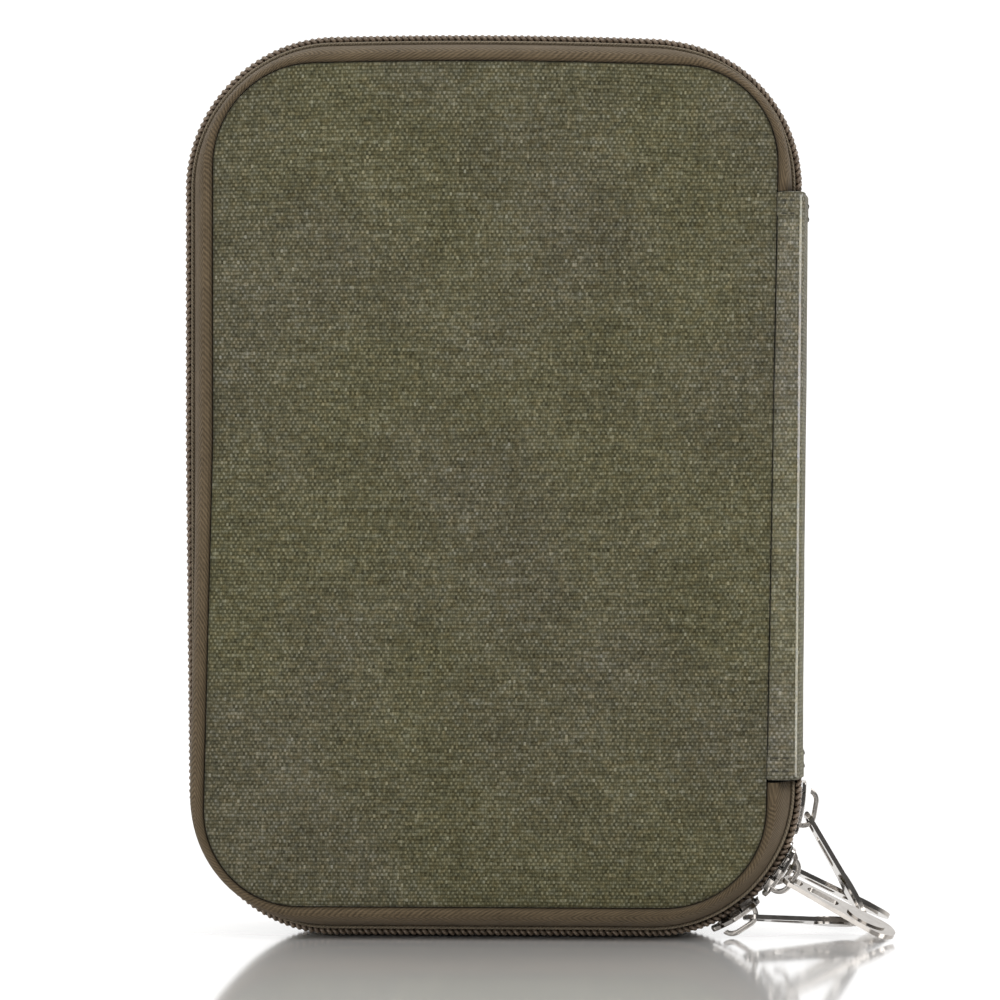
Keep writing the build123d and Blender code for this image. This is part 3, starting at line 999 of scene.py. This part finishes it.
def make_piping(name, span, z, y, body, binding):
    """Folded grosgrain edge along the top of a pocket."""
    profile = [(-0.55, -5.4), (-0.7, -4.9), (-0.72, -2.5), (-0.72, 0.0), (-0.5, 0.5), (0.0, 0.7),
               (0.5, 0.5), (0.72, 0.0), (0.72, -2.5), (0.7, -4.9), (0.55, -5.4)]
    across = running_lengths(profile)
    flattening = 0.62
    count = 60
    rows, uvs = [], []
    for i in range(count + 1):
        x = span[0] + (span[1] - span[0]) * i / count
        sag = 0.25 * math.sin(math.pi * i / count)
        rows.append([(x, y + flattening * dy, z + dz - sag) for dy, dz in profile])
        uvs.append([(x, length) for length in across])
    piping = grid_object(name, rows, uvs, BINDING, around=True)
    cap_ends(piping)
    finish_piece(piping, body, "binding", *([binding] if binding else []))


# ---------------------------------------------------------------- hardware

# Flange blocks of a slider's outer plate: place along it, length, height and half spacing
LIP_BLOCKS = ((3.6, 3.0, 1.75, 3.9), (0.35, 2.3, 1.45, 3.9), (-2.6, 2.6, 1.0, 3.35))
LIP_TOP = 0.95          # above the corner arc of the pouch's outline
LIP_ARC = 35.0          # radius that the row of blocks follows
LIP_THICK, LIP_BEVEL = 1.0, 0.28


def dress_nodes():
    """Finishes on the CAD nodes that stay: metal hardware and the hidden boards."""
    for name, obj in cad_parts.items():
        if name.startswith(("slider_", "pull_")):
            finish = NICKEL
        elif name.endswith("_board"):
            finish = BOARD
        else:
            continue
        for material_slot in obj.material_slots:
            material_slot.material = finish


def rounded_box(work, centre, axes, sizes, bevel):
    """Adds a bevelled box to a bmesh; axes are unit vectors and sizes their full lengths."""
    made = bmesh.ops.create_cube(work, size=1.0)["verts"]
    for vertex in made:
        point = Vector(centre)
        for axis, size, share in zip(axes, sizes, vertex.co.copy()):
            point += Vector(axis) * size * share
        vertex.co = point
    edges = list({edge for vertex in made for edge in vertex.link_edges})
    bmesh.ops.bevel(work, geom=edges, offset=bevel, segments=2, affect="EDGES", profile=0.6)


def make_lips(name, nose):
    """Flanges at both edges of a slider's outer plate, tall at the nose and low at the tail.

    nose is 1 where the slider's nose points up the corner arc, and -1 where it points down."""
    low, high = box_mm("slider_" + name)
    middle_x, middle_y, middle_z = [(a + b) / 2 for a, b in zip(low, high)]
    arc_x, arc_z = OUTER_RECT[1] - OUTER_CORNER, OUTER_RECT[2] + OUTER_CORNER
    turn = math.atan2(middle_x - arc_x, arc_z - middle_z)
    radial = (math.sin(turn), 0.0, -math.cos(turn))
    tangent = (nose * math.cos(turn), 0.0, nose * math.sin(turn))
    side = math.copysign(ZIP_Y, middle_y)
    work = bmesh.new()
    for edge in (-1, 1):
        for along, length, tall, half in LIP_BLOCKS:
            reach = OUTER_CORNER + LIP_TOP - tall / 2 - along ** 2 / (2 * LIP_ARC)
            x, y, z = [reach * r + along * t for r, t in zip(radial, tangent)]
            centre = (arc_x + x, side + edge * half, arc_z + z)
            rounded_box(work, centre, (tangent, (0, 1, 0), radial), (length, LIP_THICK, tall), LIP_BEVEL)
    bmesh.ops.recalc_face_normals(work, faces=work.faces)
    for vertex in work.verts:
        vertex.co *= MM
    mesh = bpy.data.meshes.new(name + "_lips")
    work.to_mesh(mesh)
    work.free()
    mesh.materials.append(NICKEL)
    mesh.polygons.foreach_set("use_smooth", [True] * len(mesh.polygons))
    lips = add_object(name + "_lips", mesh)
    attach(lips, "slider_" + name)


# ---------------------------------------------------------------- stage

def area_light(name, location, aim, size, power):
    """Rectangular light of the given size in metres, turned towards aim."""
    data = bpy.data.lights.new(name, "AREA")
    data.shape = "RECTANGLE"
    data.size, data.size_y = size
    data.energy = power
    light = add_object(name, data)
    light.location = location
    light.rotation_euler = (Vector(aim) - Vector(location)).to_track_quat("-Z", "Y").to_euler()


def make_floor():
    """White acrylic studio floor with a mirror-like gloss."""
    material, tree, shader = new_material(
        "studio_floor", grey(0.9), 0.08, Metallic=0.42, Specular_IOR_Level=0.6)
    speck = ramp(tree, grain(tree, 40.0), [(0.0, (0.95, 0.94, 0.93)), (1.0, (0.99, 0.98, 0.965))])
    tree.links.new(speck, shader.inputs["Base Color"])
    mesh = bpy.data.meshes.new("studio_floor")
    reach = 6.0
    corners = [(-reach, -reach, 0), (reach, -reach, 0), (reach, reach, 0), (-reach, reach, 0)]
    mesh.from_pydata(corners, [], [(0, 1, 2, 3)])
    mesh.materials.append(material)
    floor = add_object("studio_floor", mesh)
    floor.location.z = -0.0003


def make_world():
    """White surround, dimmer behind the camera so that metal has something dark to mirror."""
    world = bpy.data.worlds.new("studio")
    bpy.context.scene.world = world
    world.use_nodes = True
    tree = world.node_tree
    background = tree.nodes["Background"]
    source = tree.nodes.new("ShaderNodeTexCoord")
    split = tree.nodes.new("ShaderNodeSeparateXYZ")
    tree.links.new(source.outputs["Generated"], split.inputs[0])
    sky = ramp(tree, calc(tree, "MULTIPLY_ADD", split.outputs[1], 0.5, 0.5),
               [(0.0, grey(0.09)), (0.30, grey(0.16)), (0.46, grey(0.55)), (0.56, grey(1.0))])
    path = tree.nodes.new("ShaderNodeLightPath")
    white = tree.nodes.new("ShaderNodeRGB")
    white.outputs[0].default_value = (1, 1, 1, 1)
    shown = blend_colour(tree, "MIX", path.outputs["Is Camera Ray"], sky, white.outputs[0])
    tree.links.new(shown, background.inputs["Color"])
    background.inputs["Strength"].default_value = 1.15


def make_camera():
    """Long lens at the pouch's middle height, a little to the right of square-on."""
    data = bpy.data.cameras.new("camera")
    data.lens = 145
    data.sensor_width = 36
    data.clip_start = 0.01
    camera = add_object("camera", data)
    target = Vector((0.00157, -0.012, 0.0973))
    turn = math.radians(3.0)
    distance = 0.901
    camera.location = target + distance * Vector((math.sin(turn), -math.cos(turn), 0.0))
    camera.rotation_euler = (target - camera.location).to_track_quat("-Z", "Y").to_euler()
    bpy.context.scene.camera = camera


def make_stage():
    """Floor, surround, lights and camera, in metres and watts."""
    bpy.context.scene.view_settings.view_transform = "Standard"
    make_floor()
    make_world()
    area_light("key", (0.75, -0.75, 0.95), (0, 0, 0.1), (0.7, 0.7), 8.1)
    area_light("fill", (-0.95, -0.85, 0.45), (0, 0, 0.1), (0.8, 0.9), 5.3)
    area_light("top", (0.0, 0.15, 1.2), (0, 0, 0), (1.4, 1.2), 4.6)
    area_light("front", (-0.18, -1.3, 0.28), (0.05, 0, 0.05), (0.45, 0.45), 1.6)
    make_camera()


for cover in SIDES:
    make_panel(cover)
    make_band(cover)
    make_tape_edge(cover)
    make_zipper(cover)
    make_cover_lining(cover)
    make_spine(cover)
make_gusset()
make_divider()
make_loops("upper_cable_loops")
make_loops("lower_cable_loops")
make_pocket("front_mesh_pocket", 1, NET, "mesh", "front_cover", "front_pocket_binding")
make_pocket("divider_mesh_pocket", 1, NET, "mesh", BODY, "divider_pocket_binding")
make_pocket("rear_slip_pocket", -1, LINING, "lining", "rear_cover", bulge=0.2)
make_pocket("rear_card_pocket", -1, LINING, "lining", "rear_cover", bulge=0.2)
dress_nodes()
for slider, nose_way in (("front_lower", 1), ("front_upper", -1), ("rear_upper", -1), ("rear_lower", 1)):
    make_lips(slider, nose_way)
make_stage()
